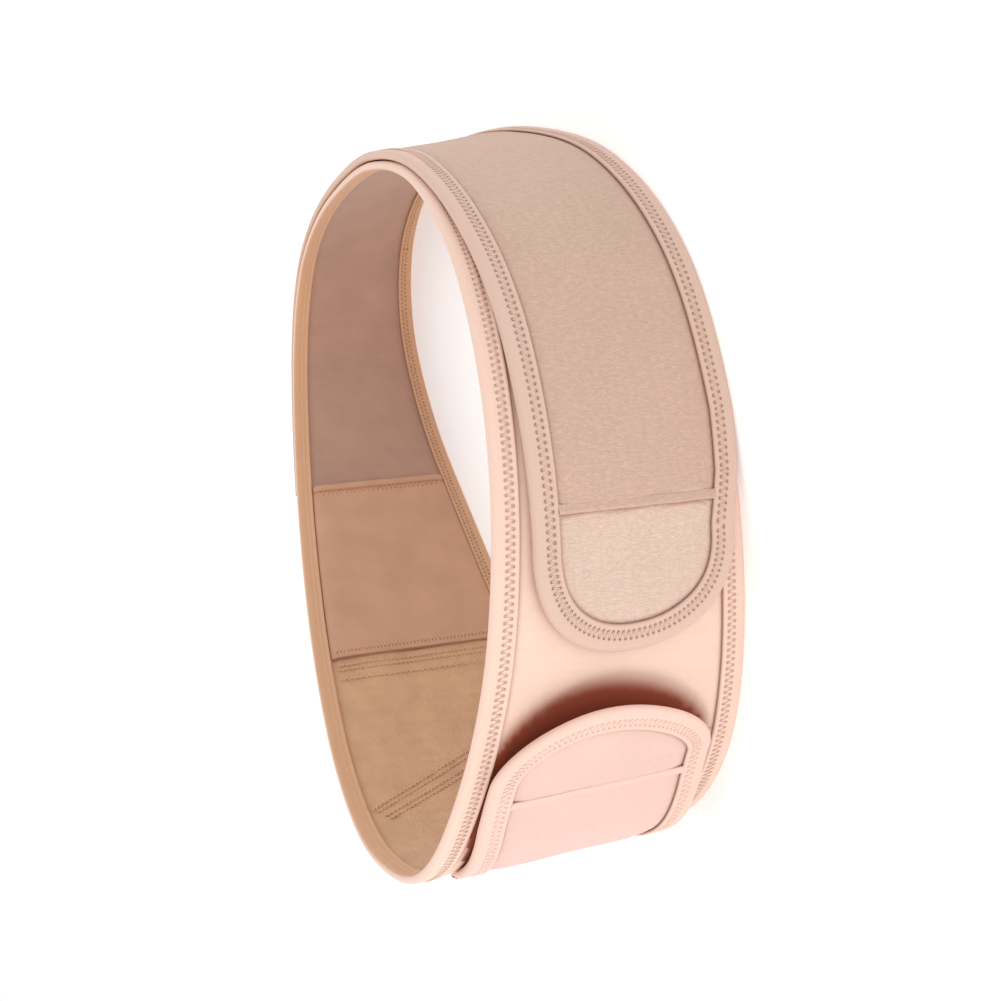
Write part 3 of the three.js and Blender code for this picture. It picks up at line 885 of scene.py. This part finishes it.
# The base band
ring = np.arange(0, 360, 0.5)
front, upper_side, back, lower_side = (
    panel("front_panel", FRONT_SEAM, UPPER_SEAM, BASE, SIDE_LINING, "front_panel", 3),
    panel("upper_side_panel", UPPER_SEAM - 360, SIDE_SEAM, BASE, SIDE_LINING, "upper_side_panel", 5),
    panel("back_panel", SIDE_SEAM, LOWER_SEAM, BASE, BACK_CLOTH, "back_panel", 7, gathers=0.42),
    panel("lower_side_panel", LOWER_SEAM, FRONT_SEAM, BASE, SIDE_LINING, "lower_side_panel", 9),
)
rims = (("upper", 1, -1, 11, UPPER_ELASTIC), ("lower", 0, 1, 12, LOWER_ELASTIC))
for rim, share, side, seed, cloth in rims:
    level = np.full_like(ring, share)
    rise = seam_bulge if share else no_rise
    tape = binding(rim + "_rim_binding", ring, level, side, rise, cloth, rim + "_rim_binding", True, seed)
    threads = [stitches(rim + "_rim_thread", ring, level, side, rise, HOLE_ROWS, over_binding, THREAD,
                        True)]
    if cloth is LOWER_ELASTIC:
        threads.append(stitches("lower_rim_inner_thread", ring, level, side, rise, INNER_ROWS,
                                under_binding, BACK_THREAD, True))
    cut(TAPE, per_degree(ring, level).mean() * 360)

# The lining inside the back, and the seams that show beside it
inner_lining = lining("back_lining", SIDE_SEAM, LINING_END, LINING, "back_lining")


def seam_across(name, first, last, rows, height, material, pitch=PITCH, arch=0.3):
    """A machine seam across the band between two (turn, share) points, at a set height."""
    x = np.linspace(0, 1, 60)
    turn, share = (first[k] + (last[k] - first[k]) * x for k in (0, 1))
    return stitches(name, turn, share, 1, no_rise, rows, lambda d: np.full_like(d, height), material,
                    False, pitch, 0.26, arch)


INSIDE = -PANEL_HALF - 0.42  # the inner face of the back panel
lining_threads = [
    seam_across("lining_hem_thread", (SIDE_SEAM, 0.12), (SIDE_SEAM, 0.89), (-5.0, -7.2), LINING_FACE,
                BACK_THREAD),
    seam_across("lining_end_thread", (LINING_END, 0.10), (LINING_END, 0.91), (2.6, 5.4), LINING_FACE,
                BACK_THREAD, 1.9),
]
back_threads = [
    seam_across(f"back_seam_thread_{k}", (LINING_END, 0.10), (LINING_END, 0.91), (distance, distance - 1.3),
                INSIDE, BACK_THREAD, step)
    for k, (distance, step) in enumerate(((-3.6, 2.2), (-6.6, 2.2), (-13.0, 2.8)))
]
back_threads += [
    seam_across(f"back_slant_thread_{k}", (105.5, 0.12), (124.0, 0.93), (-distance, -distance - 1.1),
                INSIDE, BACK_THREAD, 2.4)
    for k, distance in enumerate((0, 3.0, 8.0, 11.0))
]
cut_along(FRONT_SEAM, UPPER_SEAM)
cut_along(UPPER_SEAM - 360, SIDE_SEAM)
cut_along(SIDE_SEAM, LOWER_SEAM)
cut_along(LOWER_SEAM, FRONT_SEAM)
cut_along(SIDE_SEAM, LINING_END,
          tucked=9)

# The outer strap
BIND_STEP = 0.9
strap_t, strap_s, _ = strap_outline(STRAP_ROWS, STRAP_TIP, STRAP_ROUND, STRAP_SLANT, 0.5, 120)
bind_t, bind_s = resample(strap_t, strap_s, BIND_STEP)
strap_tape = binding("strap_binding", bind_t, bind_s, 1, strap_rise, ELASTIC, "strap_binding", False, 13)
strap_thread = stitches("strap_thread", bind_t, bind_s, 1, strap_rise, HOLE_ROWS, over_binding, THREAD)
strap = strap_panel("strap_panel", strap_t, strap_s, 1, strap_rise, SIDE_SEAM, STRAP_SEAM - 360, False,
                    STRAP, "strap_panel", 21, 0.12, 0.1)
strap_tip = strap_panel("strap_tip_panel", strap_t, strap_s, 1, strap_rise, STRAP_SEAM - 360, None, True,
                        STRAP_END, "strap_tip_panel", 22, 0.2, 0.6)
strap_fold = root_fold("strap_root_fold", STRAP_ROWS, -1, strap_rise, STRAP)
strap_lap = lap("strap_seam_lap", STRAP_ROWS, STRAP_SEAM - 360, -1, strap_rise, STRAP,
                0.85, 51)
strap_hooks = hook_patch("strap_hook_patch", -153, -135, 0.28, 0.66)
cut(TAPE, BIND_STEP * (len(bind_t) - 1))
cut_along(SIDE_SEAM, STRAP_SEAM - 360, STRAP_ROWS)
cut_along(STRAP_SEAM - 360, STRAP_TIP, STRAP_ROWS)

# The tab
tab_t, tab_s, _ = strap_outline(TAB_ROWS, TAB_TIP, TAB_ROUND, TAB_SLANT, 0.25, 120)
tbind_t, tbind_s = resample(tab_t, tab_s, BIND_STEP)
tab_tape = binding("tab_binding", tbind_t, tbind_s, -1, tab_rise, TAB_ELASTIC, "tab_binding", False, 14)
tab_thread = stitches("tab_thread", tbind_t, tbind_s, -1, tab_rise, HOLE_ROWS, over_binding, TAB_THREAD)
tab = strap_panel("tab_panel", tab_t, tab_s, -1, tab_rise, LOWER_SEAM, TAB_SEAM, False,
                  TAB, "tab_panel", 23, 0.04, 0.0, 0.5)
tab_tip = strap_panel("tab_tip_panel", tab_t, tab_s, -1, tab_rise, TAB_SEAM, None, True,
                      TAB, "tab_tip_panel", 24, 0.02, 0.0, 0.5)
tab_fold = root_fold("tab_root_fold", TAB_ROWS, 1, tab_rise, TAB)
tab_lap = lap("tab_seam_lap", TAB_ROWS, TAB_SEAM, 1, tab_rise, TAB_RIDGE, 0.3, 52, 0.5)
tab_hooks = hook_patch("tab_hook_patch", 176, 183, 0.27, 0.77)
cut(TAPE, BIND_STEP * (len(tbind_t) - 1))
cut_along(LOWER_SEAM, TAB_SEAM, TAB_ROWS)
cut_along(TAB_SEAM, TAB_TIP, TAB_ROWS)


# Floor, light and camera
def stage_plane(size):
    """A pale floor, a square at height 0 that glows a little so that it shows white."""
    mesh = bpy.data.meshes.new("floor")
    s = size / 2
    mesh.from_pydata([(-s, -s, 0), (s, -s, 0), (s, s, 0), (-s, s, 0)], [], [(0, 1, 2, 3)])
    material = bpy.data.materials.new("floor")
    material.use_nodes = True
    shader = material.node_tree.nodes["Principled BSDF"]
    shader.inputs["Base Color"].default_value = (0.95, 0.95, 0.95, 1)
    shader.inputs["Roughness"].default_value = 0.9
    shader.inputs["Specular IOR Level"].default_value = 0.0
    shader.inputs["Emission Color"].default_value = (1, 1, 1, 1)
    shader.inputs["Emission Strength"].default_value = 0.22
    mesh.materials.append(material)
    floor = bpy.data.objects.new("floor", mesh)
    bpy.context.scene.collection.objects.link(floor)


def area_light(name, place, target, size, power, colour):
    """A round soft light aimed at a point."""
    data = bpy.data.lights.new(name, "AREA")
    data.shape, data.size, data.energy, data.color = "DISK", size, power, colour
    light = bpy.data.objects.new(name, data)
    light.location = place
    light.rotation_euler = (Vector(target) - Vector(place)).to_track_quat("-Z", "Y").to_euler()
    bpy.context.scene.collection.objects.link(light)


stage_plane(30.0)
area_light("key", (-1.5, 0.22, 0.62), (-0.05, 0, 0.05), 0.3, 5.0, (1.0, 0.98, 0.96))
area_light("side", (1.3, -0.5, 0.9), (0.05, 0, 0.05), 0.7, 1.6, (1.0, 0.99, 0.98))
world = bpy.data.worlds.new("studio")
world.use_nodes = True
world.node_tree.nodes["Background"].inputs["Color"].default_value = (0.99, 1.0, 1.01, 1)
world.node_tree.nodes["Background"].inputs["Strength"].default_value = 1.01
bpy.context.scene.world = world
bpy.context.scene.view_settings.view_transform = "Standard"

# The photograph's view: the camera's place in millimetres and its own axes
CAMERA_AT = (-478.1, -376.0, 258.0)
RIGHT = Vector((-0.35362, -0.12734, -0.92668))
UP = Vector((0.62518, -0.76909, -0.13289))
BACK = Vector((-0.69578, -0.62633, 0.35157))
FOCAL_SHARE = 1400 / 1001
camera_data = bpy.data.cameras.new("camera")
camera_data.sensor_width = 36
camera_data.lens = 36 * FOCAL_SHARE
camera_data.clip_start = 0.02
camera = bpy.data.objects.new("camera", camera_data)
rotation = Matrix((RIGHT, UP, BACK)).transposed().to_4x4()
camera.matrix_world = Matrix.Translation(Vector(CAMERA_AT) / 1000) @ rotation
bpy.context.scene.collection.objects.link(camera)
bpy.context.scene.camera = camera
